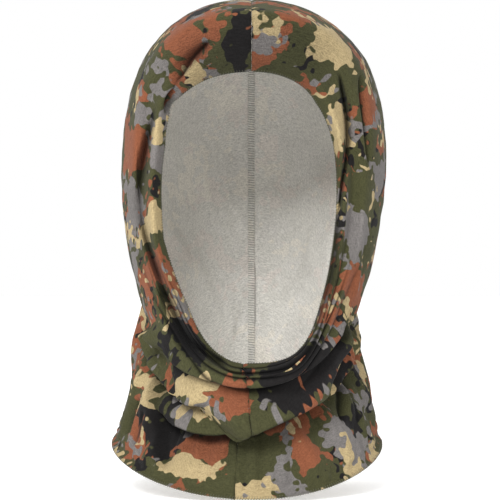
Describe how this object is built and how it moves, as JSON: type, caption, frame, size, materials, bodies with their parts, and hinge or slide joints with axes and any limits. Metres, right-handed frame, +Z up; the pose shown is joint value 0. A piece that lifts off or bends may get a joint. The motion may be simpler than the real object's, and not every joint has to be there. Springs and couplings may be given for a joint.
{
  "type": "hooded tube balaclava",
  "caption": "Printed stretch jersey tube worn as a hooded balaclava, with an open face, folds under the chin and a short neck skirt.",
  "frame": {"origin": "where the crown of the wearer's head touches the inside of the cloth", "axes": "+Z up along the wearer's spine, -Y the way the face looks, +X to the wearer's left"},
  "size_m": [0.1961, 0.2125, 0.3498],
  "materials": {
    "printed_jersey": "matte cotton jersey with a five-colour blotched print",
    "sewing_thread": "spun polyester thread",
    "label_tape": "woven satin tape, blank"
  },
  "bodies": {
    "root": {"right_panel": "printed_jersey", "left_panel": "printed_jersey", "front_seam": "sewing_thread", "back_seam": "sewing_thread", "face_edge_overlock": "sewing_thread", "bottom_edge_overlock": "sewing_thread", "care_label": "label_tape"}
  },
  "joints": []
}
